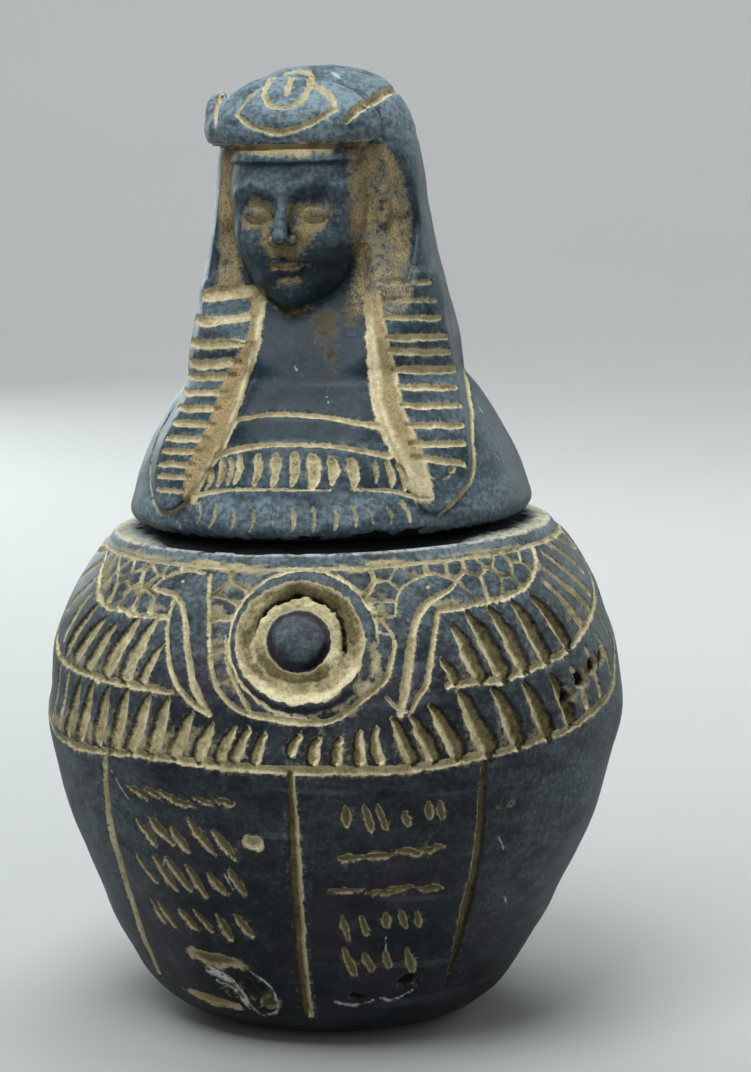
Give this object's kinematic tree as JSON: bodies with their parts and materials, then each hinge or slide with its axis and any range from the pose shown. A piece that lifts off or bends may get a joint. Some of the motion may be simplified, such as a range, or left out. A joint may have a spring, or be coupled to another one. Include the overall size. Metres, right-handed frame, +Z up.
{
  "type": "canopic jar",
  "caption": "Small carved black-stone canopic jar: a hollow pot-bellied jar with a winged sun disc, and a loose lid carved as a head in a striped headcloth.",
  "frame": {"origin": "centre of the flat underside", "axes": "+Z up along the jar's axis, front with the sun disc and the face towards -Y, +X to the viewer's right"},
  "size_m": [0.0796, 0.0796, 0.1302],
  "materials": {
    "jar_stone": "rubbed black stone, soft sheen, tan dust in the grooves",
    "lid_stone": "rubbed black stone, soft sheen, tan dust in the grooves"
  },
  "bodies": {
    "root": {"jar": "jar_stone", "lid": "lid_stone"}
  },
  "joints": []
}
